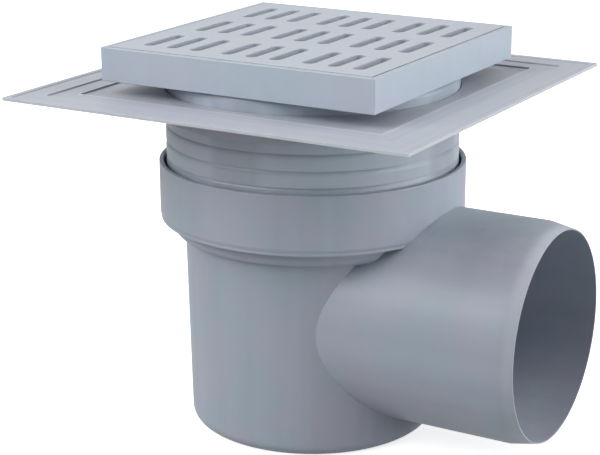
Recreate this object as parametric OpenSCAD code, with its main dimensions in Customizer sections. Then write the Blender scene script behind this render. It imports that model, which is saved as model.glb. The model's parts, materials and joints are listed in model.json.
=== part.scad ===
// Floor gully with a horizontal outlet, a height-adjustable square inlet
// and a lift-out bell trap. Millimetres, +Z up, the body's axis on Z,
// the base on Z = 0 and the outlet along +X.

/* [Outlet] */
// Outside diameter of the outlet spigot
outlet_d = 110; // [90:1:114]
// Wall of the outlet spigot
outlet_wall = 3; // [2:0.1:5]
// Distance from the body's axis to the mouth of the spigot
outlet_reach = 135.6; // [115:0.2:220]
// Height of the spigot's underside above the base
outlet_lift = 10.8; // [4:0.2:14]
// Length of the tapered lead-in at the mouth
lead_in_l = 12.6; // [4:0.2:20]
// Fall of the lead-in, measured on the radius
lead_in_fall = 2.4; // [0.5:0.1:2.6]
// Free width between the collar and a socket pushed on the spigot
socket_gap = 2.3; // [1:0.1:5]
// Growth of the spigot's radius from that socket inwards, for its draft
spigot_draft = 0.2; // [0.1:0.05:0.4]

/* [Body] */
// Wall and floor of the body below the collar
body_wall = 2.5; // [1.8:0.1:3.5]
// Outside radius of the bucket under the step
bucket_top_r = 65.15; // [58.6:0.05:73]
// Fall of the bucket's radius from there to its base
bucket_taper = 1.95; // [0.5:0.05:4]
// Height of the bucket
bucket_h = 101.1; // [98:0.1:140]
// Radius round the bucket's lower edge
bucket_fillet = 5.5; // [4:0.5:10]
// Width of the seat that the step makes round the bucket
seat_w = 5.85; // [4:0.05:8]
// Height of the step
step_h = 8.15; // [7.5:0.05:12]
// Radius round the step's lower edge
step_fillet = 3.8; // [1:0.1:5]
// Width of the seat that the collar makes round the step
collar_seat_w = 6.7; // [6:0.1:10]
// Wall of the collar
collar_wall = 2.3; // [1.6:0.1:2.8]
// Height of the collar
collar_h = 29.5; // [28:0.1:60]
// Radius round the collar's lower edge
collar_fillet = 3.1; // [1:0.1:5]
// Radius round the collar's rim, and its bevel inside
rim_round = 0.5; // [0.2:0.1:0.7]

/* [Inlet frame] */
// Distance from the neck to the sides of the square frame
frame_margin = 1; // [0.5:0.5:25]
// Height of the frame
frame_h = 16.8; // [15:0.1:30]
// Wall of the frame
frame_wall = 2.6; // [1.8:0.1:3.2]
// Thickness of the frame's floor
frame_floor = 2.6; // [1.8:0.1:4]
// Radius of the frame's upright corners
frame_corner = 0.5; // [0.5:0.5:6]

/* [Neck] */
// Length of the neck below the frame
neck_l = 63.7; // [60:0.1:120]
// Length of neck that stands inside the collar
neck_insert = 19.25; // [18:0.05:22]
// Wall of the neck under its rings
neck_wall = 2.4; // [1.8:0.1:3]
// Height of the rings on the neck, measured on the radius
ring_depth = 0.6; // [0.2:0.1:1]
// Distance from one ring to the next
ring_pitch = 8.3; // [5:0.1:12]
// Share of the pitch over which a ring swells before it falls back
ring_swell = 0.62; // [0.2:0.02:0.8]
// Free width between neck and collar
neck_clearance = 1.4; // [0.8:0.1:1.8]

/* [Flange] */
// Side of the square flange
flange_w = 218.4; // [190:0.2:300]
// Thickness of the flange
flange_t = 1; // [0.8:0.1:3]
// Radius of the flange's upright corners
flange_corner = 0.5; // [0.5:0.5:8]
// Distance from the frame's underside down to the dish of the flange
flange_drop = 6.7; // [6.5:0.1:14]
// Fall of each square step towards the middle
dish_fall = 0.35; // [0.2:0.05:0.6]
// Distance from the hub to the inner square step
dish_margin = 4.5; // [2:0.5:7]
// Distance from the inner square step to the outer one
dish_band_w = 11.6; // [5:0.1:12]
// Width of the sloping lip along the edge
lip_w = 3.4; // [1:0.1:6]
// Height of the lip at the edge
lip_h = 0.5; // [0.2:0.1:1.2]
// Depth of the hub under the flange
hub_h = 12; // [10:0.5:14]
// Wall of the hub outside the seal's groove
hub_wall = 2; // [1.4:0.1:4]
// Free width between neck and flange
flange_clearance = 0.45; // [0.35:0.05:0.8]

/* [Grate] */
// Gap between grate and frame, each side
grate_gap = 0.6; // [0.3:0.1:1.2]
// Depth of the grate's top under the frame's rim
grate_sink = 0.2; // [0:0.1:1]
// Thickness of the grate's plate
grate_t = 5; // [3:0.5:6]
// Thickness of the skirt and the ribs under the plate
grate_rib_t = 2.2; // [1.5:0.1:3]
// Depth of the ribs under the plate
grate_rib_h = 6; // [3:0.5:6.5]
// Width of a slot
slot_w = 6; // [3:0.2:8]
// Length of a slot over its round ends
slot_l = 31.2; // [20:0.2:36]
// Slots in one group
slots_per_group = 3; // [1:1:3]
// Distance between the slots of one group
slot_pitch = 13.4; // [10:0.1:15]
// Distance between groups across the slots
group_pitch_x = 44.5; // [42:0.1:46]
// Distance between groups along the slots
group_pitch_y = 45; // [40:0.1:46]
// Groups each way
groups = 3; // [1:2:3]

/* [Trap] */
// Wall of the trap's bowl and bell
trap_wall = 2.2; // [1.6:0.1:3]
// Free width between the bowl and the bucket under the bowl's rim
bowl_gap = 2.15; // [1:0.05:4]
// Fall of the bowl's radius from there to its floor
bowl_taper = 2; // [1.6:0.1:4]
// Height of the bowl's underside above the base
bowl_lift = 33; // [26:0.5:40]
// Radius round the bowl's lower edge
bowl_fillet = 6; // [3.5:0.5:10]
// Inside radius of the standpipe
standpipe_bore_r = 22; // [16:0.5:24]
// Height of the standpipe's mouth above the bowl's floor
standpipe_h = 58.6; // [54:0.2:60]
// Depth of water that the trap holds back
water_seal = 50; // [30:1:50]
// Inside radius of the bell
bell_bore_r = 36; // [33:0.5:40]
// Height of the space over the standpipe's mouth
bell_headroom = 12; // [8:0.5:13]
// Radius round the bell's crown
bell_fillet = 8; // [4:0.5:12]
// Feet that the bell stands on
bell_feet = 4; // [3:1:6]
// Width of one foot
bell_foot_w = 9; // [5:0.5:14]

/* [Seals] */
// Height of the seal's groove at the foot of the neck
neck_groove_h = 6.6; // [5:0.1:7]
// Depth of that groove
neck_groove_depth = 2.7; // [1.8:0.1:2.8]
// Height of the seal's groove in the hub
hub_groove_h = 5.6; // [4:0.1:6]
// Depth of that groove
hub_groove_depth = 1.75; // [1.4:0.05:3]
// Thickness of the ring under the bowl's rim
bowl_seal_d = 3; // [2:0.2:3.4]
// Running clearance of each seal
seal_gap = 0.3; // [0.25:0.05:0.4]

/* [Hidden] */
$fn = 96;
overlap = 1;

// Heights of the seats, from the base up
step_floor_z = bucket_h + body_wall;
collar_floor_z = bucket_h + step_h + body_wall;
collar_top_z = bucket_h + step_h + collar_h;
neck_end_z = collar_top_z - neck_insert;
frame_z = neck_end_z + neck_l;
frame_floor_z = frame_z + frame_floor;
frame_top_z = frame_z + frame_h;
dish_z = frame_z - flange_drop;

// Radii of the body, from the bucket outwards
bucket_base_r = bucket_top_r - bucket_taper;
bucket_bore_r = bucket_top_r - body_wall;
step_r = bucket_top_r + seat_w;
step_bore_r = step_r - body_wall;
collar_r = step_r + collar_seat_w;
collar_bore_r = collar_r - collar_wall;

// Radii of the outlet
outlet_r = outlet_d / 2;
outlet_z = outlet_lift + outlet_r;
socket_x = collar_r + socket_gap;

// Radii of the neck, from the collar inwards
neck_r = collar_bore_r - neck_clearance;
neck_root_r = neck_r - ring_depth;
neck_bore_r = neck_root_r - neck_wall;

// The neck narrows at its foot, round the groove for its seal
neck_foot_t = 1.9;
groove_floor_r = neck_r - neck_groove_depth;
groove_bore_r = groove_floor_r - neck_wall;
groove_low_z = neck_end_z + neck_foot_t;
groove_high_z = groove_low_z + neck_groove_h;
ring_start = 0.5;
ring_count = floor((neck_l - ring_start) / ring_pitch);

// Flange, measured from the neck outwards
flange_bore_r = neck_r + flange_clearance;
hub_groove_r = flange_bore_r + hub_groove_depth;
hub_r = hub_groove_r + hub_wall;
hub_end_z = dish_z - flange_t - hub_h;
hub_lip_h = 2;
dish_inner_w = 2 * (hub_r + dish_margin);
dish_outer_w = dish_inner_w + 2 * dish_band_w;
step_corner = 2;

// Frame and grate
frame_w = 2 * (neck_r + frame_margin);
grate_w = frame_w - 2 * (frame_wall + grate_gap);
grate_top_z = frame_top_z - grate_sink;
grate_corner = max(frame_corner - frame_wall, 0.6);

// Trap, from the seat on the step upwards and from the floor upwards
bowl_rim_t = 2.4;
bowl_rim_gap = 0.4;
bowl_rim_z = step_floor_z + bowl_seal_d;
bowl_rim_r = step_bore_r - bowl_rim_gap;
bowl_top_r = bucket_bore_r - bowl_gap;
bowl_base_r = bowl_top_r - bowl_taper;
bowl_h = bowl_rim_z - bowl_lift;
bowl_floor_z = bowl_lift + trap_wall;
standpipe_r = standpipe_bore_r + trap_wall;
standpipe_top_z = bowl_floor_z + standpipe_h;
bell_r = bell_bore_r + trap_wall;
bell_crown_z = standpipe_top_z + bell_headroom;
bell_h = bell_crown_z + trap_wall - bowl_floor_z;
foot_h = standpipe_h - water_seal;
guide_gap = 0.5;
guide_t = 2;
guide_depth = bell_headroom + 12;
knob_stem_r = 5;
knob_r = 9;
knob_h = 8;
knob_cap_t = 3.2;

// ---------------------------------------------------------------- profiles

// Square outline with round corners, centred
module rounded_square(side, corner) {
    inner = side - 2 * corner;
    square([inner, side], center = true);
    square([side, inner], center = true);
    for (x = [-1, 1], y = [-1, 1])
        translate([x * inner / 2, y * inner / 2]) circle(corner);
}

// Half profile of an upright drum with a round lower edge
module drum_half(r, h, fillet) {
    square([r - fillet, h]);
    translate([0, fillet]) square([r, h - fillet]);
    translate([r - fillet, fillet]) circle(fillet);
}

// Half profile of an upright drum with round lower and upper edges
module pot_half(r, h, fillet, rim) {
    drum_half(r, h - rim, fillet);
    square([r - rim, h]);
    translate([r - rim, h - rim]) circle(rim);
}

// Half profile of a drum that widens upwards from its round lower edge
module leaning_half(base_r, top_r, h, fillet) {
    polygon([
        [0, fillet],
        [base_r, fillet],
        [top_r, h],
        [0, h]
    ]);
    square([base_r - fillet, fillet]);
    translate([base_r - fillet, fillet]) circle(fillet);
}

// Ring with a rectangular section
module plain_ring(inner_r, outer_r, z, h) {
    translate([0, 0, z]) difference() {
        cylinder(r = outer_r, h = h);
        translate([0, 0, -overlap]) cylinder(r = inner_r, h = h + 2 * overlap);
    }
}

// ---------------------------------------------------------------- body

// Everything the body is hollowed by, down its own axis
module body_cavity_half() {
    translate([0, body_wall])
        leaning_half(bucket_base_r - body_wall, bucket_bore_r,
                     bucket_h, bucket_fillet - body_wall);
    translate([0, step_floor_z])
        square([step_bore_r, step_h]);
    translate([0, collar_floor_z])
        square([collar_bore_r, collar_h]);
    polygon([
        [0, collar_top_z - rim_round],
        [collar_bore_r, collar_top_z - rim_round],
        [collar_bore_r + 2 * rim_round, collar_top_z + rim_round],
        [0, collar_top_z + rim_round]
    ]);
}

// Step and collar, still solid
module collar_half() {
    translate([0, bucket_h])
        drum_half(step_r, step_h, step_fillet);
    translate([0, bucket_h + step_h])
        pot_half(collar_r, collar_h, collar_fillet, rim_round);
}

// Half profile of the spigot along its own axis: drafted out to the end of a
// socket pushed on it, then straight, and tapered at the mouth
module spigot_half() {
    polygon([
        [0, 0],
        [outlet_r + spigot_draft, 0],
        [outlet_r, socket_x],
        [outlet_r, outlet_reach - lead_in_l],
        [outlet_r - lead_in_fall, outlet_reach],
        [0, outlet_reach]
    ]);
}

// Bucket and spigot run into each other in one saddle. The bore stops under
// the step, so the seats of the trap and of the neck stay whole all round.
module gully_body() {
    color([0.57, 0.61, 0.66]) difference() {
        union() {
            difference() {
                union() {
                    rotate_extrude()
                        leaning_half(bucket_base_r, bucket_top_r, bucket_h, bucket_fillet);
                    translate([0, 0, outlet_z]) rotate([0, 90, 0])
                        rotate_extrude() spigot_half();
                }
                translate([0, 0, outlet_z]) rotate([0, 90, 0])
                    cylinder(r = outlet_r - outlet_wall, h = outlet_reach + overlap);
            }
            rotate_extrude() collar_half();
        }
        rotate_extrude() body_cavity_half();
    }
}

// ---------------------------------------------------------------- inlet

// Outline of the ringed outside of the neck, from the frame downwards: each
// ring swells slowly, then falls back to a crease
function ring_points(i) = let (top = frame_z - ring_start - i * ring_pitch) [
    [neck_root_r, top],
    [neck_r, top - ring_swell * ring_pitch]
];

// Only rings that end above the groove's upper wall are drawn
ring_floor_z = groove_high_z + neck_foot_t;
neck_rings = [
    for (i = [0 : ring_count])
        if (frame_z - ring_start - (i + 1) * ring_pitch > ring_floor_z)
            each ring_points(i)
];

// Round neck, its foot drawn in round the seal's groove
module neck_half() {
    polygon(concat(
        [[neck_bore_r, frame_floor_z], [neck_root_r, frame_floor_z]],
        neck_rings,
        [
            [neck_root_r, neck_rings[len(neck_rings) - 1][1] - (1 - ring_swell) * ring_pitch],
            [neck_root_r, groove_high_z],
            [groove_floor_r, groove_high_z],
            [groove_floor_r, groove_low_z],
            [neck_root_r, groove_low_z],
            [neck_root_r, neck_end_z],
            [groove_bore_r, neck_end_z],
            [groove_bore_r, groove_high_z],
            [neck_bore_r, groove_high_z + neck_wall]
        ]
    ));
}

// Square tray that carries the grate, moulded on the round neck
module grate_frame() {
    color([0.7, 0.74, 0.79]) {
        difference() {
            translate([0, 0, frame_z])
                linear_extrude(frame_h) rounded_square(frame_w, frame_corner);
            translate([0, 0, frame_floor_z])
                linear_extrude(frame_h)
                    rounded_square(frame_w - 2 * frame_wall, grate_corner);
            translate([0, 0, frame_z - overlap])
                cylinder(r = neck_bore_r, h = frame_h);
        }
        rotate_extrude() neck_half();
    }
}

// ---------------------------------------------------------------- grate

// One slot with round ends, along Y
module slot_outline() {
    straight = slot_l - slot_w;
    square([slot_w, straight], center = true);
    for (end = [-1, 1])
        translate([0, end * straight / 2]) circle(slot_w / 2);
}

// All slots, in square groups
module slot_pattern() {
    group_span = (groups - 1) / 2;
    slot_span = (slots_per_group - 1) / 2;
    for (gx = [-group_span : group_span], gy = [-group_span : group_span],
         s = [-slot_span : slot_span])
        translate([gx * group_pitch_x + s * slot_pitch, gy * group_pitch_y])
            slot_outline();
}

// Slotted plate on a skirt that stands on the frame's floor, with ribs
// between the groups of slots
module grate() {
    plate_z = grate_top_z - grate_t;
    rib_l = grate_w - 2 * grate_rib_t + overlap;
    color([0.76, 0.8, 0.84]) {
        translate([0, 0, plate_z]) linear_extrude(grate_t) difference() {
            rounded_square(grate_w, grate_corner);
            slot_pattern();
        }
        translate([0, 0, frame_floor_z])
            linear_extrude(plate_z - frame_floor_z) difference() {
                rounded_square(grate_w, grate_corner);
                square(grate_w - 2 * grate_rib_t, center = true);
            }
        for (side = [-1, 1]) {
            translate([side * group_pitch_x / 2, 0, plate_z - grate_rib_h / 2])
                cube([grate_rib_t, rib_l, grate_rib_h], center = true);
            translate([0, side * group_pitch_y / 2, plate_z - grate_rib_h / 2])
                cube([rib_l, grate_rib_t, grate_rib_h], center = true);
        }
    }
}

// ---------------------------------------------------------------- flange

// One square band of the dish, from its outer side to its inner side
module dish_band(outer_w, inner_w, corner, level) {
    translate([0, 0, dish_z - flange_t + level * dish_fall])
        linear_extrude(flange_t) difference() {
            rounded_square(outer_w, corner);
            rounded_square(inner_w, step_corner);
        }
}

// Sloping lip along the four sides, highest at the very edge
module flange_lip() {
    lip_z = dish_z + 2 * dish_fall;
    edge = flange_w / 2;
    intersection() {
        for (turn = [0 : 90 : 270])
            rotate([90, 0, turn]) translate([0, 0, -edge])
                linear_extrude(flange_w) polygon([
                    [edge - lip_w, lip_z],
                    [edge - lip_w, lip_z - flange_t / 2],
                    [edge, lip_z - flange_t / 2],
                    [edge, lip_z + lip_h]
                ]);
        translate([0, 0, dish_z - flange_t])
            linear_extrude(3 * flange_t) rounded_square(flange_w, flange_corner);
    }
}

// Half profile of the hub, grooved inside for its seal
module hub_half() {
    groove_low = hub_end_z + hub_lip_h;
    polygon([
        [flange_bore_r, dish_z],
        [hub_r, dish_z],
        [hub_r, hub_end_z],
        [flange_bore_r, hub_end_z],
        [flange_bore_r, groove_low],
        [hub_groove_r, groove_low],
        [hub_groove_r, groove_low + hub_groove_h],
        [flange_bore_r, groove_low + hub_groove_h]
    ]);
}

// Square sealing flange, dished in two steps round its hub
module flange_plate() {
    color([0.73, 0.75, 0.8]) {
        dish_band(flange_w, dish_outer_w, flange_corner, 2);
        dish_band(dish_outer_w, dish_inner_w, step_corner, 1);
        difference() {
            translate([0, 0, dish_z - flange_t])
                linear_extrude(flange_t) rounded_square(dish_inner_w, step_corner);
            translate([0, 0, dish_z - flange_t - overlap])
                cylinder(r = (flange_bore_r + hub_r) / 2, h = flange_t + 2 * overlap);
        }
        rotate_extrude() hub_half();
        flange_lip();
    }
}

// ---------------------------------------------------------------- trap

// Round cup with a standpipe up its middle, hung by its rim
module trap_bowl() {
    color([0.5, 0.54, 0.6]) rotate_extrude() {
        difference() {
            translate([0, bowl_lift])
                leaning_half(bowl_base_r, bowl_top_r, bowl_h + bowl_rim_t, bowl_fillet);
            translate([0, bowl_floor_z])
                leaning_half(bowl_base_r - trap_wall, bowl_top_r - trap_wall,
                             bowl_h + bowl_rim_t, bowl_fillet - trap_wall);
            square([standpipe_bore_r, bowl_floor_z + overlap]);
        }
        translate([standpipe_bore_r, bowl_lift])
            square([trap_wall, standpipe_top_z - bowl_lift]);
        translate([bowl_top_r - trap_wall / 2, bowl_rim_z])
            square([bowl_rim_r - bowl_top_r + trap_wall / 2, bowl_rim_t]);
    }
}

// Half profile of the bell with its lifting knob, upright
module bell_half() {
    difference() {
        translate([0, bell_h]) mirror([0, 1])
            drum_half(bell_r, bell_h, bell_fillet);
        translate([0, bell_h - trap_wall]) mirror([0, 1])
            drum_half(bell_bore_r, bell_h, bell_fillet - trap_wall);
    }
    translate([0, bell_h - trap_wall / 2])
        square([knob_stem_r, knob_h]);
    translate([0, bell_h + knob_h - knob_cap_t])
        square([knob_r, knob_cap_t]);
}

// Inverted cup over the standpipe, on feet between wide windows, with
// guides inside that centre it
module trap_bell() {
    color([0.5, 0.54, 0.6]) translate([0, 0, bowl_floor_z]) {
        difference() {
            rotate_extrude() bell_half();
            translate([0, 0, -overlap]) intersection() {
                cylinder(r = bell_r + overlap, h = foot_h + overlap);
                difference() {
                    cylinder(r = bell_r + 2 * overlap, h = foot_h + overlap);
                    for (i = [0 : bell_feet - 1]) rotate(45 + i * 360 / bell_feet)
                        translate([0, -bell_foot_w / 2, -overlap])
                            cube([bell_r + 3 * overlap, bell_foot_w, foot_h + 3 * overlap]);
                }
            }
        }
        for (i = [0 : 3]) rotate(45 + i * 90)
            translate([standpipe_r + guide_gap, -guide_t / 2, bell_h - trap_wall - guide_depth])
                cube([bell_bore_r + trap_wall / 2 - standpipe_r - guide_gap,
                      guide_t, guide_depth - bell_fillet]);
    }
}

// ---------------------------------------------------------------- seals

// Two-lipped ring in the groove at the foot of the neck
module neck_seal() {
    low = groove_low_z + seal_gap;
    high = groove_high_z - seal_gap;
    inner = groove_floor_r + seal_gap;
    outer = collar_bore_r - seal_gap;
    waist = (inner + outer) / 2;
    color([0.16, 0.16, 0.17]) rotate_extrude() polygon([
        [inner, low],
        [waist, low],
        [outer, low + (high - low) * 0.3],
        [waist, (low + high) / 2],
        [outer, low + (high - low) * 0.8],
        [waist, high],
        [inner, high]
    ]);
}

// Plain ring in the hub's groove that grips the neck
module flange_seal() {
    color([0.16, 0.16, 0.17])
        plain_ring(neck_r + seal_gap, hub_groove_r - seal_gap,
                   hub_end_z + hub_lip_h + seal_gap, hub_groove_h - 2 * seal_gap);
}

// Round ring between the step and the rim of the bowl
module bowl_seal() {
    seat_r = (bucket_bore_r + step_bore_r) / 2;
    color([0.16, 0.16, 0.17]) rotate_extrude()
        translate([seat_r, step_floor_z + bowl_seal_d / 2]) circle(bowl_seal_d / 2);
}

gully_body();
grate_frame();
grate();
flange_plate();
neck_seal();
flange_seal();
trap_bowl();
trap_bell();
bowl_seal();
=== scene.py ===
"""Floor gully: rounded visible shells, moulded plastic finishes and a plain studio.

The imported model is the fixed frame. The grate, the inlet frame and the sealing flange
are worked out again here as closed surfaces with rounded edges, and the other nodes keep
their own meshes and get their finish. Sizes are in millimetres and become metres where
a mesh is made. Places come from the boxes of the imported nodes.
"""

import json
import logging
import math
from collections.abc import Sequence
from dataclasses import dataclass, replace
from enum import Enum
from itertools import product

import bmesh
import bpy
import numpy as np
from mathutils import Matrix, Vector

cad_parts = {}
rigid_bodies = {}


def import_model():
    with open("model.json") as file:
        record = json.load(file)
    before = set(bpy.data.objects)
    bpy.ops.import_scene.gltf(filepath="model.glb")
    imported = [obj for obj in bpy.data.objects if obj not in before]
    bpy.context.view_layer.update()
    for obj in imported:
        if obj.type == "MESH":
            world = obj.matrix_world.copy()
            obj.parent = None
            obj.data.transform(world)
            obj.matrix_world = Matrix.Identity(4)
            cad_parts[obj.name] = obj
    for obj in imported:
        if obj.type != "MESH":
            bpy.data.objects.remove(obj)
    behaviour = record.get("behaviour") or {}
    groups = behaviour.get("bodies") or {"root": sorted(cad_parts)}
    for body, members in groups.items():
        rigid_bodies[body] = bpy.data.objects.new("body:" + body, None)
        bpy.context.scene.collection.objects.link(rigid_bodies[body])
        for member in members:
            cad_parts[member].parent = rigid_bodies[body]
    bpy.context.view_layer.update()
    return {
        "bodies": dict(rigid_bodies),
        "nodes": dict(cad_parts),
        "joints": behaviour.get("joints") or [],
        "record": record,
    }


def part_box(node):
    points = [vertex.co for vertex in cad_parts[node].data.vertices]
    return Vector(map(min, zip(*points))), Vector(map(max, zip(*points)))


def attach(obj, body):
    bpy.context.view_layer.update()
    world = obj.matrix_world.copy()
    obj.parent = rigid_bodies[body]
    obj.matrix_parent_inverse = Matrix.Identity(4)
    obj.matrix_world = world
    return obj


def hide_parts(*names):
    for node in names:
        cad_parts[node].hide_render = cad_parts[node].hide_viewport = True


MM = 0.001
MERGE_MM = 0.0005
TOUCH_MM = 0.0001
PLACE_DIGITS = 6
# Places of the first, the middle and the last of three, in pitches from the middle.
THIRDS = (-1, 0, 1)
CREASE_DEGREES = 50.0
STRAIGHT_DEGREES = 179.0

Colour = tuple[float, float, float]
Span = tuple[float, float]
Socket = bpy.types.NodeSocket

WHITE: Colour = (1.0, 1.0, 1.0)
BLACK: Colour = (0.0, 0.0, 0.0)
# Pale film: settled dust, and on the body painted light that lifts faces looking up.
DUST_AND_TOP_LIGHT: Colour = (0.72, 0.73, 0.73)
SCUFFED: Colour = (0.8, 0.82, 0.84)
# Dark colour of painted shade in creases, at the feet of steps and in gaps.
PAINTED_SHADE: Colour = (0.05, 0.06, 0.07)
# Pale colour of painted highlights on step edges, the flange's lip and the spigot's mouth.
PAINTED_HIGHLIGHT: Colour = (0.72, 0.75, 0.78)

log = logging.getLogger("gully")


# ------------------------------------------------------------------ surfaces


class Outline(Enum):
    """The closed line that one row of a shell follows."""

    SQUARE = "square"
    ROUND = "round"


@dataclass(frozen=True)
class Corner:
    """One corner of a shell's profile, carried round the upright axis.

    Attributes:
        reach: Half side of a square row, or radius of a round one.
        z: Height of the row.
        radius: Radius that rounds this corner of the profile.
        outline: Line that the row follows.
        core: Half side of the square on which the upright corners' arcs are centred.
    """

    reach: float
    z: float
    radius: float = 0.0
    outline: Outline = Outline.ROUND
    core: float = 0.0


@dataclass(frozen=True)
class RingPath:
    """A closed path that is a round-cornered square and a circle at once.

    Attributes:
        spine: Points on the square of half side 1, the corner point repeated in its arc.
        normal: Outward direction of the round-cornered square at each point.
        direction: Direction of the circle's point that belongs to it.
    """

    spine: np.ndarray
    normal: np.ndarray
    direction: np.ndarray

    @classmethod
    def even(cls, per_side: int, per_corner: int) -> "RingPath":
        """Spaces the points evenly along each side and round each corner.

        A side runs from -1 to 1 at x = 1. Its corner then turns the normal from 0 to 90
        degrees at the point (1, 1). The circle's directions advance evenly, with the
        middle of the side at angle 0. Three quarter turns give the rest.

        Args:
            per_side: Steps along one side.
            per_corner: Steps round one corner.

        Returns:
            The path.
        """
        along = np.linspace(-1.0, 1.0, per_side + 1)
        turn = np.linspace(0.0, math.pi / 2, per_corner + 1)[1:-1]
        along = np.concatenate([along, np.ones(len(turn))])
        turn = np.concatenate([np.zeros(per_side + 1), turn])
        count = len(along)
        swing = (np.arange(count) - per_side / 2) * (math.pi / 2 / count)
        return cls(
            spine=quarter_turns(np.stack([np.ones(count), along], axis=1)),
            normal=quarter_turns(np.stack([np.cos(turn), np.sin(turn)], axis=1)),
            direction=quarter_turns(np.stack([np.cos(swing), np.sin(swing)], axis=1)),
        )

    @classmethod
    def through(cls, stops_x: np.ndarray, stops_y: np.ndarray, per_corner: int) -> "RingPath":
        """Places the points of the sides at given stops, so that a lattice meets them.

        Args:
            stops_x: Places from -1 to 1 along the sides that run in x.
            stops_y: Places from -1 to 1 along the sides that run in y.
            per_corner: Steps round one corner.

        Returns:
            The path. Its directions are those of its own points.
        """
        turn = np.linspace(0.0, math.pi / 2, per_corner + 1)[1:-1]
        spine, normal = [], []
        for side, stops in enumerate((stops_y, stops_x, stops_y, stops_x)):
            along = np.concatenate([stops, np.ones(len(turn))])
            lean = np.concatenate([np.zeros(len(stops)), turn])
            quarter = side * math.pi / 2
            spine.append(turned(np.stack([np.ones(len(along)), along], axis=1), quarter))
            normal.append(turned(np.stack([np.cos(lean), np.sin(lean)], axis=1), quarter))
        points = np.concatenate(spine)
        lengths = np.linalg.norm(points, axis=1, keepdims=True)
        return cls(spine=points, normal=np.concatenate(normal), direction=points / lengths)

    def row(self, corner: Corner) -> np.ndarray:
        """Points of one row.

        A square row is spine * core + normal * (reach - core), with a core no wider than
        the reach. A round row is direction * reach.

        Args:
            corner: The profile's point, whose own radius isn't used here.

        Returns:
            An array of points, n by 3.
        """
        if corner.outline is Outline.SQUARE:
            core = min(corner.core, corner.reach)
            flat = self.spine * core + self.normal * (corner.reach - core)
        else:
            flat = self.direction * corner.reach
        return np.column_stack([flat, np.full(len(flat), corner.z)])

    def carry(self, profile: Sequence[Corner]) -> np.ndarray:
        """Grid of the rows of a whole profile, m by n by 3."""
        return np.stack([self.row(corner) for corner in profile])


def turned(points: np.ndarray, angle: float) -> np.ndarray:
    """Plane points turned by an angle about the origin."""
    c, s = math.cos(angle), math.sin(angle)
    return points @ np.array([[c, s], [-s, c]])


def quarter_turns(points: np.ndarray) -> np.ndarray:
    """Plane points repeated at 0, 90, 180 and 270 degrees, one after the other."""
    return np.concatenate([turned(points, side * math.pi / 2) for side in range(4)])


def rounded(corners: Sequence[Corner], steps: int) -> list[Corner]:
    """Replaces each corner of a closed profile by an arc of its radius.

    The arc touches both neighbouring sides at radius / tan(half the angle between them)
    from the corner. Its points keep the corner's outline and core.

    Args:
        corners: Corners of the closed profile, in order.
        steps: Steps of each arc.

    Returns:
        The corners of the rounded profile, with no radius left.
    """
    made: list[Corner] = []
    for index, corner in enumerate(corners):
        here = np.array([corner.reach, corner.z])
        before = corners[index - 1]
        after = corners[(index + 1) % len(corners)]
        back = unit(np.array([before.reach, before.z]) - here)
        ahead = unit(np.array([after.reach, after.z]) - here)
        half = math.acos(float(np.clip(back @ ahead, -1.0, 1.0))) / 2
        if corner.radius <= 0 or half > math.radians(STRAIGHT_DEGREES / 2):
            made.append(Corner(corner.reach, corner.z, 0.0, corner.outline, corner.core))
            continue
        centre = here + unit(back + ahead) * (corner.radius / math.sin(half))
        start = here + back * (corner.radius / math.tan(half)) - centre
        end = here + ahead * (corner.radius / math.tan(half)) - centre
        sweep = math.pi - 2 * half
        share = np.linspace(0.0, 1.0, steps + 1)[:, None]
        arc = np.sin((1 - share) * sweep) * start + np.sin(share * sweep) * end
        for reach, z in centre + arc / math.sin(sweep):
            made.append(Corner(float(reach), float(z), 0.0, corner.outline, corner.core))
    return made


def unit(vector: np.ndarray) -> np.ndarray:
    """The vector at length 1."""
    return vector / np.linalg.norm(vector)


class Shell:
    """Collects grids of points, in millimetres, and makes one closed mesh of them."""

    def __init__(self, name: str) -> None:
        """Starts an empty shell with the name of its piece."""
        self.name = name
        self.points: list[np.ndarray] = []
        self.quads: list[np.ndarray] = []
        self.count = 0

    def add(self, grid: np.ndarray, close_rows: bool = False, close_columns: bool = False) -> None:
        """Adds one grid of quads.

        Args:
            grid: Points, rows by columns by 3.
            close_rows: Joins the last row to the first.
            close_columns: Joins the last column to the first.
        """
        rows, columns = grid.shape[:2]
        index = np.arange(rows * columns).reshape(rows, columns) + self.count
        if close_rows:
            index = np.vstack([index, index[:1]])
        if close_columns:
            index = np.hstack([index, index[:, :1]])
        corners = (index[:-1, :-1], index[1:, :-1], index[1:, 1:], index[:-1, 1:])
        self.points.append(grid.reshape(-1, 3))
        self.quads.append(np.stack(corners, axis=-1).reshape(-1, 4))
        self.count += rows * columns

    def piece(self) -> bpy.types.Object:
        """Makes the mesh object: merged, facing outwards and shaded by face area.

        Returns:
            The object, linked to the scene, at the origin.
        """
        mesh = bpy.data.meshes.new(self.name)
        points = np.concatenate(self.points) * MM
        quads = np.concatenate(self.quads)
        mesh.vertices.add(len(points))
        mesh.vertices.foreach_set("co", points.astype(np.float32).ravel())
        mesh.loops.add(quads.size)
        mesh.loops.foreach_set("vertex_index", quads.astype(np.int32).ravel())
        mesh.polygons.add(len(quads))
        mesh.polygons.foreach_set("loop_start", np.arange(0, quads.size, 4, dtype=np.int32))
        mesh.update(calc_edges=True)
        close_up(mesh)
        mesh.polygons.foreach_set("use_smooth", np.ones(len(mesh.polygons), bool))
        mesh.set_sharp_from_angle(angle=math.radians(CREASE_DEGREES))
        made = placed(self.name, mesh)
        shading = made.modifiers.new("face area shading", "WEIGHTED_NORMAL")
        shading.keep_sharp = True
        return made


def placed(name: str, data: bpy.types.ID) -> bpy.types.Object:
    """A new object of the data, linked to the scene."""
    made = bpy.data.objects.new(name, data)
    bpy.context.scene.collection.objects.link(made)
    return made


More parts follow.
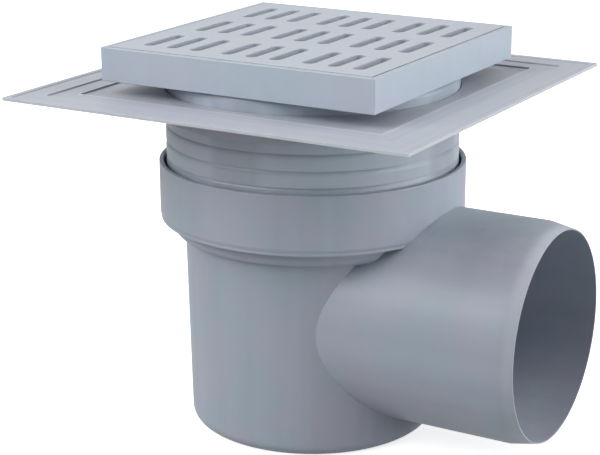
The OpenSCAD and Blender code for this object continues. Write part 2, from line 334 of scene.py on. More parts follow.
def close_up(mesh: bpy.types.Mesh) -> None:
    """Merges the points that grids share, and turns all faces outwards."""
    work = bmesh.new()
    work.from_mesh(mesh)
    bmesh.ops.remove_doubles(work, verts=work.verts, dist=MERGE_MM * MM)
    bmesh.ops.dissolve_degenerate(work, edges=work.edges, dist=MERGE_MM * MM)
    bmesh.ops.recalc_face_normals(work, faces=work.faces)
    open_edges = sum(1 for edge in work.edges if len(edge.link_faces) != 2)
    log.info("%s: %d faces, %d open edges", mesh.name, len(work.faces), open_edges)
    work.to_mesh(mesh)
    work.free()


# ---------------------------------------------------------------- node trees


class Graph:
    """A short way to add nodes to one node tree and join them."""

    def __init__(self, tree: bpy.types.NodeTree) -> None:
        """Keeps the tree that the nodes go into."""
        self.tree = tree

    @classmethod
    def blank(cls, owner: bpy.types.Material | bpy.types.World) -> "Graph":
        """The graph of a material or world, emptied."""
        owner.use_nodes = True
        owner.node_tree.nodes.clear()
        return cls(owner.node_tree)

    def node(self, kind: str, inputs: dict | None = None, **settings: object) -> bpy.types.Node:
        """Adds a node.

        Args:
            kind: Blender's node type.
            inputs: Value or source socket of each input, by name or number.
            **settings: Properties of the node.

        Returns:
            The node.
        """
        made = self.tree.nodes.new(kind)
        for name, value in settings.items():
            setattr(made, name, value)
        for key, value in (inputs or {}).items():
            self.put(made.inputs[key], value)
        return made

    def put(self, target: Socket, value: object) -> None:
        """Links a socket to the target, or sets the target's own value."""
        if isinstance(value, bpy.types.NodeSocket):
            self.tree.links.new(value, target)
        elif isinstance(value, tuple) and target.type == "RGBA":
            target.default_value = (*value, 1.0)
        else:
            target.default_value = value

    def math(self, operation: str, *values: object) -> Socket:
        """Result of a Math node."""
        node = self.node("ShaderNodeMath", dict(enumerate(values)), operation=operation)
        return node.outputs[0]

    def times(self, first: object, second: object) -> Socket:
        """Product of two values."""
        return self.math("MULTIPLY", first, second)

    def plus(self, first: object, second: object) -> Socket:
        """Sum of two values."""
        return self.math("ADD", first, second)

    def vector(self, operation: str, *values: object) -> Socket:
        """Result of a Vector Math node, which is a number for a length or a dot product."""
        node = self.node("ShaderNodeVectorMath", dict(enumerate(values)), operation=operation)
        return node.outputs["Value" if operation in ("LENGTH", "DOT_PRODUCT") else "Vector"]

    def group(self, tree: bpy.types.NodeTree, inputs: dict) -> bpy.types.NodeOutputs:
        """Places a shared group with its own values and gives its outputs."""
        return self.node("ShaderNodeGroup", node_tree=tree, inputs=inputs).outputs

    def split(self, vector: Socket) -> tuple[Socket, Socket, Socket]:
        """The three parts of a vector."""
        parts = self.node("ShaderNodeSeparateXYZ", {0: vector}).outputs
        return parts[0], parts[1], parts[2]

    def joined(self, x: object, y: object, z: object) -> Socket:
        """A vector of three parts."""
        return self.node("ShaderNodeCombineXYZ", {0: x, 1: y, 2: z}).outputs[0]

    def blend(self, share: object, first: object, second: object, how: str = "MIX") -> Socket:
        """Colour that goes from the first to the second as share goes from 0 to 1."""
        node = self.node(
            "ShaderNodeMix",
            {0: share, 6: first, 7: second},
            data_type="RGBA",
            blend_type=how,
        )
        return node.outputs[2]

    def choice(self, share: object, first: object, second: object) -> Socket:
        """Vector that goes from the first to the second as share goes from 0 to 1."""
        node = self.node("ShaderNodeMix", {0: share, 4: first, 5: second}, data_type="VECTOR")
        return node.outputs[1]

    def spread(self, value: object, span: Span, to_low: object = 0.0, to_high: object = 1.0) -> Socket:
        """Value carried from a span to another range, smoothly and held at the ends."""
        node = self.node(
            "ShaderNodeMapRange",
            {0: value, 1: span[0], 2: span[1], 3: to_low, 4: to_high},
            interpolation_type="SMOOTHSTEP",
        )
        return node.outputs[0]

    def noise(self, vector: Socket, size: object, detail: object, roughness: float = 0.5) -> Socket:
        """Noise from 0 to 1 whose features are about size metres across."""
        scale = self.math("DIVIDE", 1.0, size)
        node = self.node(
            "ShaderNodeTexNoise",
            {"Vector": vector, "Scale": scale, "Detail": detail, "Roughness": roughness},
        )
        return node.outputs[0]

    def coat(
        self,
        colour: Socket,
        roughness: Socket,
        height: Socket,
        ior: float,
        normal: Socket | None = None,
    ) -> None:
        """Ends a material with a Principled surface that carries a fine relief.

        Args:
            colour: Base colour.
            roughness: Roughness.
            height: Height of the relief, in millimetres.
            ior: Index of refraction.
            normal: Normals that the relief starts from, if they aren't the surface's own.
        """
        inputs = {"Height": height, "Distance": MM, "Strength": 1.0}
        if normal is not None:
            inputs["Normal"] = normal
        relief = self.node("ShaderNodeBump", inputs).outputs[0]
        inputs = {"Base Color": colour, "Roughness": roughness, "IOR": ior, "Normal": relief}
        shader = self.node("ShaderNodeBsdfPrincipled", inputs)
        self.node("ShaderNodeOutputMaterial", {"Surface": shader.outputs[0]})


SOCKETS = {"float": "NodeSocketFloat", "colour": "NodeSocketColor", "vector": "NodeSocketVector"}


def new_group(name: str, inputs: dict[str, str], outputs: dict[str, str]) -> tuple[Graph, dict, dict]:
    """Makes an empty shader node group.

    Args:
        name: The group's name.
        inputs: Kind of each input, by name.
        outputs: Kind of each output, by name.

    Returns:
        The group's graph, its input sockets and its output sockets, by name.
    """
    tree = bpy.data.node_groups.new(name, "ShaderNodeTree")
    for direction, named in (("INPUT", inputs), ("OUTPUT", outputs)):
        for socket_name, kind in named.items():
            tree.interface.new_socket(socket_name, in_out=direction, socket_type=SOCKETS[kind])
    graph = Graph(tree)
    entry = graph.node("NodeGroupInput")
    result = graph.node("NodeGroupOutput")
    return graph, {n: entry.outputs[n] for n in inputs}, {n: result.inputs[n] for n in outputs}


class Effects:
    """Shader node groups that the finishes share, each built once.

    Attributes:
        TONE_SPAN: Noise levels between which the tone swings.
        TINT_SPAN: Noise levels between which the tint goes from one to the other.
        TINT_SHIFT: Shift of the tint's noise from the tone's, in metres.
        GLOSS_SHARE: Size of the changes of gloss, as a share of the mottle size.
        BREAK_MM: Size of the stretches in which a step line fades and returns.
        BREAK_SPAN: Noise levels between which it does so.
        BREAK_LEAST: Its least strength.
        SHADE_SPAN: Distances from its middle, in widths, over which the painted shade fades.
        HIGHLIGHT_SPAN: The same for the painted highlight.
        LYING_SPAN: Upward parts of the normal between which the film of dust and painted top light
            comes up.
        FILM_SPAN: Noise levels between which that film closes.
        FILM_LEAST: Its least strength.
        HAIR_TURNS: Directions of the scuffs' hairlines, in radians.
        HAIR_SLIMNESS: Length of a hairline over its width.
        HAIR_SPAN: Noise levels between which a hairline shows.
    """

    TONE_SPAN: Span = (0.3, 0.7)
    TINT_SPAN: Span = (0.35, 0.65)
    TINT_SHIFT = (0.31, 0.17, 0.53)
    GLOSS_SHARE = 0.37
    BREAK_MM = 12.0
    BREAK_SPAN: Span = (0.25, 0.6)
    BREAK_LEAST = 0.7
    SHADE_SPAN: Span = (0.2, 1.3)
    HIGHLIGHT_SPAN: Span = (0.2, 1.2)
    LYING_SPAN: Span = (0.5, 0.98)
    FILM_SPAN: Span = (0.35, 0.75)
    FILM_LEAST = 0.15
    HAIR_TURNS = (0.5, -0.9)
    HAIR_SLIMNESS = 14.0
    HAIR_SPAN: Span = (0.64, 0.72)

    def __init__(self) -> None:
        """Builds every group."""
        self.skin = self._skin()
        self.lines = self._lines()
        self.step_line = self._step_line()
        self.dust_and_top_light = self._dust_and_top_light()
        self.scuffs = self._scuffs()

    def _skin(self) -> bpy.types.NodeTree:
        """Moulded skin: slow changes of tint, tone and gloss, and a fine grain."""
        graph, given, made = new_group(
            "moulded skin",
            {
                "Vector": "vector",
                "Colour": "colour",
                "Second Colour": "colour",
                "Tone": "float",
                "Mottle Size": "float",
                "Grain Size": "float",
                "Roughness": "float",
                "Roughness Spread": "float",
            },
            {"Colour": "colour", "Roughness": "float", "Grain": "float"},
        )
        slow = graph.noise(given["Vector"], given["Mottle Size"], 3.0)
        dark = graph.math("SUBTRACT", 1.0, given["Tone"])
        light = graph.plus(1.0, given["Tone"])
        level = graph.spread(slow, self.TONE_SPAN, dark, light)
        grey = graph.joined(level, level, level)
        aside = graph.vector("ADD", given["Vector"], self.TINT_SHIFT)
        patches = graph.spread(graph.noise(aside, given["Mottle Size"], 2.0), self.TINT_SPAN)
        tinted = graph.blend(patches, given["Colour"], given["Second Colour"])
        graph.put(made["Colour"], graph.blend(1.0, tinted, grey, "MULTIPLY"))
        gloss_size = graph.times(given["Mottle Size"], self.GLOSS_SHARE)
        gloss = graph.math("SUBTRACT", graph.noise(given["Vector"], gloss_size, 4.0), 0.5)
        change = graph.times(gloss, graph.times(given["Roughness Spread"], 2.0))
        graph.put(made["Roughness"], graph.plus(given["Roughness"], change))
        graph.put(made["Grain"], graph.noise(given["Vector"], given["Grain Size"], 2.0))
        return graph.tree

    def _lines(self) -> bpy.types.NodeTree:
        """Draw lines: soft streaks that run along Y of the given vector."""
        graph, given, made = new_group(
            "draw lines",
            {"Vector": "vector", "Width": "float", "Length": "float", "Fineness": "float"},
            {"Lines": "float"},
        )
        across, along, _ = graph.split(given["Vector"])
        slow = graph.math("DIVIDE", along, given["Length"])
        wide = graph.math("DIVIDE", across, given["Width"])
        streaks = graph.noise(graph.joined(wide, slow, 0.0), 1.0, given["Fineness"], roughness=0.6)
        graph.put(made["Lines"], streaks)
        return graph.tree

    def _step_line(self) -> bpy.types.NodeTree:
        """Line at a moulded step: painted shade at its foot, inside, and a painted highlight on its
        edge, outside.

        The middle of the painted shade lies one width inside the reach, and the middle of the
        painted highlight one width outside it.

        Returns:
            The group.
        """
        graph, given, made = new_group(
            "step line",
            {"Vector": "vector", "Distance": "float", "Reach": "float", "Width": "float"},
            {"Grime": "float", "Wear": "float"},
        )
        past = graph.math("SUBTRACT", given["Distance"], given["Reach"])
        share = graph.math("DIVIDE", past, given["Width"])
        stretches = graph.noise(given["Vector"], self.BREAK_MM * MM, 3.0)
        broken = graph.spread(stretches, self.BREAK_SPAN, self.BREAK_LEAST)
        for name, shift, span in (("Grime", 1.0, self.SHADE_SPAN), ("Wear", -1.0, self.HIGHLIGHT_SPAN)):
            away = graph.math("ABSOLUTE", graph.plus(share, shift))
            line = graph.spread(away, span, 1.0, 0.0)
            graph.put(made[name], graph.times(line, broken))
        return graph.tree

    def _dust_and_top_light(self) -> bpy.types.NodeTree:
        """Settled dust and painted top light: a broken pale film on the faces that look up."""
        graph, given, made = new_group(
            "settled dust",
            {"Vector": "vector", "Normal": "vector", "Patch Size": "float", "Amount": "float"},
            {"Dust": "float"},
        )
        _, _, up = graph.split(given["Normal"])
        lying = graph.spread(up, self.LYING_SPAN)
        film = graph.noise(given["Vector"], given["Patch Size"], 6.0, roughness=0.65)
        cover = graph.times(lying, graph.spread(film, self.FILM_SPAN, self.FILM_LEAST))
        graph.put(made["Dust"], graph.times(cover, given["Amount"]))
        return graph.tree

    def _scuffs(self) -> bpy.types.NodeTree:
        """Handling scuffs: short hairlines in two directions, thinly scattered."""
        graph, given, made = new_group(
            "handling scuffs",
            {"Vector": "vector", "Size": "float", "Amount": "float"},
            {"Scuffs": "float"},
        )
        strokes = []
        for turn in self.HAIR_TURNS:
            spun = graph.node(
                "ShaderNodeVectorRotate",
                {"Vector": given["Vector"], "Angle": turn},
                rotation_type="Z_AXIS",
            ).outputs[0]
            thin = graph.vector("MULTIPLY", spun, (self.HAIR_SLIMNESS, 1.0, self.HAIR_SLIMNESS))
            strokes.append(graph.spread(graph.noise(thin, given["Size"], 3.0), self.HAIR_SPAN))
        both = graph.math("MAXIMUM", strokes[0], strokes[1])
        graph.put(made["Scuffs"], graph.times(both, given["Amount"]))
        return graph.tree


# ------------------------------------------------------------------ finishes


class Slot(Enum):
    """The record's material slots."""

    BODY = "body"
    FRAME = "frame"
    GRATE = "grate"
    FLANGE = "flange"
    TRAP = "trap"
    SEAL = "seal"


class Pull(Enum):
    """The way a moulding was drawn from its tool, along which its streaks run."""

    ROUND_UPRIGHT = "upright, round a drum"
    SQUARE_EDGES = "along the sides of a square"
    UPRIGHT = "upright, on flat sides"


@dataclass(frozen=True)
class Spigot:
    """Where the outlet's spigot runs, in metres.

    Attributes:
        radius: Its outside radius.
        height: Height of its axis, which runs along +X.
        reach: The x at which its mouth ends.
        nose: Length over which its tapered mouth curves inwards.
        nose_tilt: Slope of the taper at the mouth's edge.
        mouth_highlight: Strength of the pale painted highlight band round the mouth's edge.
        mouth_highlight_span: Distances from the mouth over which that painted highlight fades in, in
            noses.
        margin: Play when a surface is told to be the spigot's.
        least_facing: Least part of the normal that faces away from the axis outside.
        taper_share: Length of the taper, in noses, with some play.
    """

    radius: float
    height: float
    reach: float
    nose: float = 10.0 * MM
    nose_tilt: float = 0.4
    mouth_highlight: float = 0.2
    mouth_highlight_span: Span = (0.75, 0.2)
    margin: float = 0.5 * MM
    least_facing: float = 0.6
    taper_share: float = 1.3

    @classmethod
    def from_record(cls, record: dict) -> "Spigot":
        """Reads the spigot from the record's outlet mount."""
        mount = next(m for m in record["mounts"] if m["name"] == "outlet")
        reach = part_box("gully_body")[1][0]
        return cls(radius=mount["dims"]["r_mm"] * MM, height=mount["pos_m"][2], reach=reach)

    def follow(self, graph: Graph, place: Socket, drum: Socket) -> Socket:
        """Coordinates round the spigot's axis where the surface is the spigot's.

        The spigot's surfaces lie within its radius of its axis, and the drum's don't.
        There X is the angle about that axis times the radius, and Y is x.

        Args:
            graph: The material's graph.
            place: Object coordinates.
            drum: Coordinates to keep elsewhere.

        Returns:
            The coordinates.
        """
        x, y, z = graph.split(place)
        rise = graph.math("SUBTRACT", z, self.height)
        distance = graph.vector("LENGTH", graph.joined(y, rise, 0.0))
        near = graph.math("LESS_THAN", distance, self.radius + self.margin)
        share = graph.times(near, graph.math("GREATER_THAN", x, self.radius / 2))
        angle = graph.math("ARCTAN2", rise, y)
        spigot = graph.joined(graph.times(angle, self.radius), x, 0.0)
        return graph.choice(share, drum, spigot)

    def curve_mouth(self, graph: Graph, place: Socket, normal: Socket) -> Socket:
        """Normals that round the outside of the tapered mouth.

        The normal points away from the spigot's axis, and leans towards +X by a slope
        that grows evenly from nothing at the start of the nose to nose_tilt at the mouth.

        Args:
            graph: The material's graph.
            place: Object coordinates.
            normal: Normals to keep elsewhere.

        Returns:
            The normals.
        """
        radial, outside = self._outside(graph, place, normal)
        x, _, _ = graph.split(place)
        tilt = graph.spread(x, (self.reach - self.nose, self.reach), 0.0, self.nose_tilt)
        leaning = graph.vector("ADD", radial, graph.joined(tilt, 0.0, 0.0))
        return graph.choice(outside, normal, graph.vector("NORMALIZE", leaning))

    def mouth_highlight_mask(self, graph: Graph, place: Socket, normal: Socket) -> Socket:
        """Share of pale painted highlight, which grows towards the mouth's edge.

        Args:
            graph: The material's graph.
            place: Object coordinates.
            normal: Normals of the surface.

        Returns:
            The share.
        """
        _, outside = self._outside(graph, place, normal)
        x, _, _ = graph.split(place)
        start, end = (self.reach - share * self.nose for share in self.mouth_highlight_span)
        return graph.times(outside, graph.spread(x, (start, end), 0.0, self.mouth_highlight))

    def _outside(self, graph: Graph, place: Socket, normal: Socket) -> tuple[Socket, Socket]:
        """Direction away from the spigot's axis, and where the mouth's outside is.

        Args:
            graph: The material's graph.
            place: Object coordinates.
            normal: Normals of the surface.

        Returns:
            The direction, and 1 on the tapered outside and 0 elsewhere.
        """
        x, y, z = graph.split(place)
        rise = graph.math("SUBTRACT", z, self.height)
        radial = graph.vector("NORMALIZE", graph.joined(0.0, y, rise))
        facing = graph.vector("DOT_PRODUCT", normal, radial)
        looks_out = graph.math("GREATER_THAN", facing, self.least_facing)
        at_mouth = graph.math("GREATER_THAN", x, self.reach - self.taper_share * self.nose)
        return radial, graph.times(looks_out, at_mouth)


@dataclass(frozen=True)
class StepLine:
    """Where a moulded step or crease gathers grime inside and wears outside.

    Attributes:
        outline: The line it follows, a square or a circle about the upright axis.
        reach_mm: Half side of the square, or radius of the circle.
        width_mm: Width of the line.
        painted_shade: Share of painted shade.
        painted_highlight: Share of painted highlight.
    """

    outline: Outline
    reach_mm: float
    width_mm: float
    painted_shade: float
    painted_highlight: float = 0.0


@dataclass(frozen=True, kw_only=True)
class Skin:
    """The moulded skin that every finish starts from.

    Attributes:
        name: The material's name.
        colour: Base colour.
        second: Tint that the base colour drifts to in patches.
        roughness: Mean roughness.
        roughness_spread: How far the roughness swings.
        tone: How far the tone swings.
        mottle_mm: Size of the slow changes.
        grain_mm: Size of the fine grain.
        grain_depth_mm: Depth of the fine grain.
        ior: Index of refraction.
    """

    name: str
    colour: Colour
    second: Colour
    roughness: float = 0.36
    roughness_spread: float = 0.04
    tone: float = 0.012
    mottle_mm: float = 38.0
    grain_mm: float = 0.6
    grain_depth_mm: float = 0.006
    ior: float = 1.49

    def grown(self, graph: Graph, effects: Effects, place: Socket) -> bpy.types.NodeOutputs:
        """Places the skin's group.

        Args:
            graph: The material's graph.
            effects: The shared node groups.
            place: Object coordinates.

        Returns:
            The group's colour, roughness and grain.
        """
        inputs = {
            "Vector": place,
            "Colour": self.colour,
            "Second Colour": self.second,
            "Tone": self.tone,
            "Mottle Size": self.mottle_mm * MM,
            "Grain Size": self.grain_mm * MM,
            "Roughness": self.roughness,
            "Roughness Spread": self.roughness_spread,
        }
        return graph.group(effects.skin, inputs)


@dataclass(frozen=True, kw_only=True)
class MouldedPlastic(Skin):
    """Grey polypropylene as it leaves the mould.

    Attributes:
        pull: The way its streaks run.
        line_width_mm: Width of a streak.
        line_length_mm: Length of a streak.
        line_fineness: How much fine detail the streaks have.
        line_tone: How much a streak darkens.
        line_depth_mm: Depth of a streak.
        streak_span: Noise levels between which a streak darkens.
        dust_and_top_light: Share of a pale film on faces that look up: settled dust, and where the
            share is high, painted light on those faces.
        dust_and_top_light_mm: Size of the film's patches.
        dust_and_top_light_roughness: How much the film adds to the roughness.
        scuffs: Strength of the scuffs.
        scuff_mm: Length of a scuff.
        scuff_tone: How pale a scuff is.
        scuff_roughness: How much a scuff adds to the roughness.
        scuff_depth_mm: Depth of a scuff.
        drum_mm: Mean radius of a drum, for the streaks round it.
        spigot: The outlet's spigot, where the piece has one.
        steps: The steps and creases that carry a line of painted shade and painted highlight.
    """

    pull: Pull
    line_width_mm: float = 9.0
    line_length_mm: float = 400.0
    line_fineness: float = 1.0
    line_tone: float = 0.03
    line_depth_mm: float = 0.02
    streak_span: Span = (0.35, 0.7)
    dust_and_top_light: float = 0.05
    dust_and_top_light_mm: float = 14.0
    dust_and_top_light_roughness: float = 0.4
    scuffs: float = 0.15
    scuff_mm: float = 16.0
    scuff_tone: float = 0.12
    scuff_roughness: float = 0.12
    scuff_depth_mm: float = 0.01
    drum_mm: float = 65.0
    spigot: Spigot | None = None
    steps: tuple[StepLine, ...] = ()

    def make(self, effects: Effects) -> bpy.types.Material:
        """Builds the material.

        Args:
            effects: The shared node groups.

        Returns:
            The material.
        """
        material = bpy.data.materials.new(self.name)
        graph = Graph.blank(material)
        place = graph.node("ShaderNodeTexCoord").outputs["Object"]
        normal = graph.node("ShaderNodeNewGeometry").outputs["Normal"]
        skin = self.grown(graph, effects, place)
        lines = graph.group(
            effects.lines,
            {
                "Vector": self._along_pull(graph, place),
                "Width": self.line_width_mm * MM,
                "Length": self.line_length_mm * MM,
                "Fineness": self.line_fineness,
            },
        )["Lines"]
        dust_and_top_light = graph.group(
            effects.dust_and_top_light,
            {"Vector": place, "Normal": normal, "Patch Size": self.dust_and_top_light_mm * MM, "Amount": self.dust_and_top_light},
        )["Dust"]
        scuffs = graph.group(
            effects.scuffs,
            {"Vector": place, "Size": self.scuff_mm * MM, "Amount": self.scuffs},
        )["Scuffs"]
        streak = graph.times(graph.spread(lines, self.streak_span), self.line_tone)
        colour = graph.blend(streak, skin["Colour"], BLACK)
        # Painted shade at the feet of the steps and creases, painted highlights on their edges.
        colour = self._stepped(graph, effects, place, colour)
        # Dust, and painted top light where its share is high: faces that look up turn paler.
        colour = graph.blend(dust_and_top_light, colour, DUST_AND_TOP_LIGHT)
        colour = graph.blend(graph.times(scuffs, self.scuff_tone), colour, SCUFFED)
        rough = graph.plus(skin["Roughness"], graph.times(dust_and_top_light, self.dust_and_top_light_roughness))
        rough = graph.plus(rough, graph.times(scuffs, self.scuff_roughness))
        grain = graph.times(skin["Grain"], self.grain_depth_mm)
        height = graph.plus(grain, graph.times(lines, self.line_depth_mm))
        height = graph.math("SUBTRACT", height, graph.times(scuffs, self.scuff_depth_mm))
        if self.spigot:
            # Painted highlight: a pale band round the outside of the spigot's tapered mouth.
            colour = graph.blend(self.spigot.mouth_highlight_mask(graph, place, normal), colour, PAINTED_HIGHLIGHT)
            normal = self.spigot.curve_mouth(graph, place, normal)
        graph.coat(colour, rough, height, self.ior, normal)
        return material

    def _stepped(self, graph: Graph, effects: Effects, place: Socket, colour: Socket) -> Socket:
        """Colour with the painted shade and the painted highlights of the steps.

        The distance from the middle is the larger of |x| and |y| for a square, and the
        length of (x, y) for a circle.

        Args:
            graph: The material's graph.
            effects: The shared node groups.
            place: Object coordinates.
            colour: Colour to start from.

        Returns:
            The colour.
        """
        x, y, _ = graph.split(place)
        wide, deep = graph.math("ABSOLUTE", x), graph.math("ABSOLUTE", y)
        distance = {
            Outline.SQUARE: graph.math("MAXIMUM", wide, deep),
            Outline.ROUND: graph.vector("LENGTH", graph.joined(x, y, 0.0)),
        }
        for step in self.steps:
            line = graph.group(
                effects.step_line,
                {
                    "Vector": place,
                    "Distance": distance[step.outline],
                    "Reach": step.reach_mm * MM,
                    "Width": step.width_mm * MM,
                },
            )
            # Painted shade inside the line, painted highlight outside it.
            colour = graph.blend(graph.times(line["Grime"], step.painted_shade), colour, PAINTED_SHADE)
            colour = graph.blend(graph.times(line["Wear"], step.painted_highlight), colour, PAINTED_HIGHLIGHT)
        return colour

    def _along_pull(self, graph: Graph, place: Socket) -> Socket:
        """Coordinates whose Y runs along the streaks.

        Round a drum, X is the angle about the axis times the drum's mean radius. Along
        the sides of a square, X is the distance from the middle to the side. On flat
        upright sides, X is x + y, which runs across both pairs of sides.

        Args:
            graph: The material's graph.
            place: Object coordinates.

        Returns:
            The coordinates.
        """
        x, y, z = graph.split(place)
        angle = graph.math("ARCTAN2", y, x)
        drum = graph.joined(graph.times(angle, self.drum_mm * MM), z, 0.0)
        if self.pull is Pull.ROUND_UPRIGHT:
            return self.spigot.follow(graph, place, drum) if self.spigot else drum
        if self.pull is Pull.SQUARE_EDGES:
            wide = graph.math("ABSOLUTE", x)
            deep = graph.math("ABSOLUTE", y)
            across, along = graph.math("MAXIMUM", wide, deep), graph.math("MINIMUM", wide, deep)
            return graph.joined(across, along, 0.0)
        return graph.joined(graph.plus(x, y), z, 0.0)


@dataclass(frozen=True, kw_only=True)
class SealRubber(Skin):
    """Black moulded rubber with a dull bloom.

    Attributes:
        bloom: Colour of the bloom.
        bloom_mm: Size of the bloom's patches.
        bloom_span: Noise levels between which the bloom comes up.
        bloom_share: Its greatest share.
    """

    bloom: Colour
    bloom_mm: float = 5.0
    bloom_span: Span = (0.45, 0.75)
    bloom_share: float = 0.5

    def make(self, effects: Effects) -> bpy.types.Material:
        """Builds the material.

        Args:
            effects: The shared node groups.

        Returns:
            The material.
        """
        material = bpy.data.materials.new(self.name)
        graph = Graph.blank(material)
        place = graph.node("ShaderNodeTexCoord").outputs["Object"]
        skin = self.grown(graph, effects, place)
        patches = graph.noise(place, self.bloom_mm * MM, 5.0)
        share = graph.spread(patches, self.bloom_span, 0.0, self.bloom_share)
        colour = graph.blend(share, skin["Colour"], self.bloom)
        height = graph.times(skin["Grain"], self.grain_depth_mm)
        graph.coat(colour, skin["Roughness"], height, self.ior)
        return material


# -------------------------------------------------------------- sub-assemblies


def node_box(node: str) -> tuple[Vector, Vector]:
    """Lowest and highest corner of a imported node, in millimetres."""
    low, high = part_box(node)
    return low / MM, high / MM


def dress(piece: bpy.types.Object, material: bpy.types.Material) -> None:
    """Gives every face of a piece one material."""
    piece.data.materials.clear()
    piece.data.materials.append(material)


@dataclass
class InletFrame:
    """Square tray on a ringed round neck, one moulding.

    Attributes:
        half: Half side of the tray.
        top: Height of the tray's rim.
        neck_end: Height of the neck's lower end.
        neck_radius: Outside radius over the neck's rings.

    The other fields are the moulding's own sizes, and the steps of its mesh.
    """

    half: float
    top: float
    neck_end: float
    neck_radius: float
    height: float = 16.8
    wall: float = 2.6
    floor: float = 2.6
    corner: float = 0.5
    inner_corner: float = 0.6
    neck_wall: float = 2.4
    ring_depth: float = 0.6
    ring_pitch: float = 8.3
    ring_cut: float = 0.8
    ring_brow: float = 0.13
    ring_brow_share: float = 0.7
    ring_ramp: float = 0.3
    ring_lip: float = 0.97
    ring_start: float = 0.5
    foot: float = 1.9
    groove_height: float = 6.6
    groove_depth: float = 2.7
    rim_round: float = 0.3
    rim_drop: float = 0.25
    shoulder_round: float = 0.4
    foot_round: float = 0.45
    brow_round: float = 0.6
    crest_round: float = 6.0
    lip_round: float = 0.1
    crease_round: float = 0.06
    root_round: float = 0.2
    groove_round: float = 0.2
    end_round: float = 0.4
    bore_round: float = 1.0
    mouth_round: float = 0.5
    tray_round: float = 0.3
    # Radius of the neck's creases, which painted shade darkens.
    crease_shade_radius: float = 74.0
    collar_wall: float = 2.3
    collar_clearance: float = 1.4
    side_steps: int = 40
    corner_steps: int = 8
    arc_steps: int = 5

    @classmethod
    def from_frame(cls) -> "InletFrame":
        """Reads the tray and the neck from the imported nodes."""
        low, high = node_box("grate_frame")
        _, collar_high = node_box("gully_body")
        return cls(
            half=high.x,
            top=high.z,
            neck_end=low.z,
            neck_radius=collar_high.y - cls.collar_wall - cls.collar_clearance,
        )

    def rings(self, low: float) -> list[Corner]:
        """Corners of the neck's rings, from the tray down to a height.

        Each ring leaves the crease over a steep brow, swells gently to the full radius,
        keeps it down to its lip, and steps back to the next crease at the end of the
        pitch. Brow, ramp and lip are shares of the pitch.

        Args:
            low: Height that the rings stay above.

        Returns:
            The corners.
        """
        full = self.neck_radius
        crease = full - self.ring_cut
        made = []
        z = self.top - self.height - self.ring_start
        while z - self.ring_pitch > low:
            made.append(Corner(crease, z, self.crease_round))
            brow = crease + self.ring_brow_share * self.ring_cut
            made.append(Corner(brow, z - self.ring_brow * self.ring_pitch, self.brow_round))
            made.append(Corner(full, z - self.ring_ramp * self.ring_pitch, self.crest_round))
            made.append(Corner(full, z - self.ring_lip * self.ring_pitch, self.lip_round))
            z -= self.ring_pitch
        made.append(Corner(crease, z, self.crease_round))
        return made

    def profile(self) -> list[Corner]:
        """Closed profile: rim, outside, underside, neck, bore, floor, inside."""
        square = Outline.SQUARE
        core = self.half - self.corner
        inner = self.half - self.wall
        inner_core = inner - self.inner_corner
        under = self.top - self.height
        floor = under + self.floor
        root = self.neck_radius - self.ring_depth
        bore = root - self.neck_wall
        groove = self.neck_radius - self.groove_depth
        groove_low = self.neck_end + self.foot
        groove_high = groove_low + self.groove_height
        foot_bore = groove - self.neck_wall
        return [
            Corner(self.half, self.top - self.rim_drop, self.shoulder_round, square, core),
            Corner(self.half, under, self.foot_round, square, core),
            Corner(root, under, self.root_round),
            *self.rings(groove_high + self.foot),
            Corner(root, groove_high, self.groove_round),
            Corner(groove, groove_high, self.groove_round),
            Corner(groove, groove_low, self.groove_round),
            Corner(root, groove_low, self.groove_round),
            Corner(root, self.neck_end, self.end_round),
            Corner(foot_bore, self.neck_end, self.end_round),
            Corner(foot_bore, groove_high, self.bore_round),
            Corner(bore, groove_high + self.neck_wall, self.bore_round),
            Corner(bore, floor, self.mouth_round),
            Corner(inner, floor, self.tray_round, square, inner_core),
            Corner(inner, self.top - self.rim_drop, self.rim_round, square, inner_core),
        ]

    def step_lines(self) -> tuple[StepLine, ...]:
        """Painted shade along the middle of the rim's top, and in the creases of the neck."""
        return (
            StepLine(Outline.SQUARE, self.half, width_mm=1.25, painted_shade=0.2),
            StepLine(Outline.ROUND, self.crease_shade_radius, width_mm=0.45, painted_shade=0.24),
        )

    def build(self) -> bpy.types.Object:
        """Makes the closed shell of the frame."""
        shell = Shell("inlet_frame")
        path = RingPath.even(self.side_steps, self.corner_steps)
        rows = rounded(self.profile(), self.arc_steps)
        shell.add(path.carry(rows), close_rows=True, close_columns=True)
        return shell.piece()


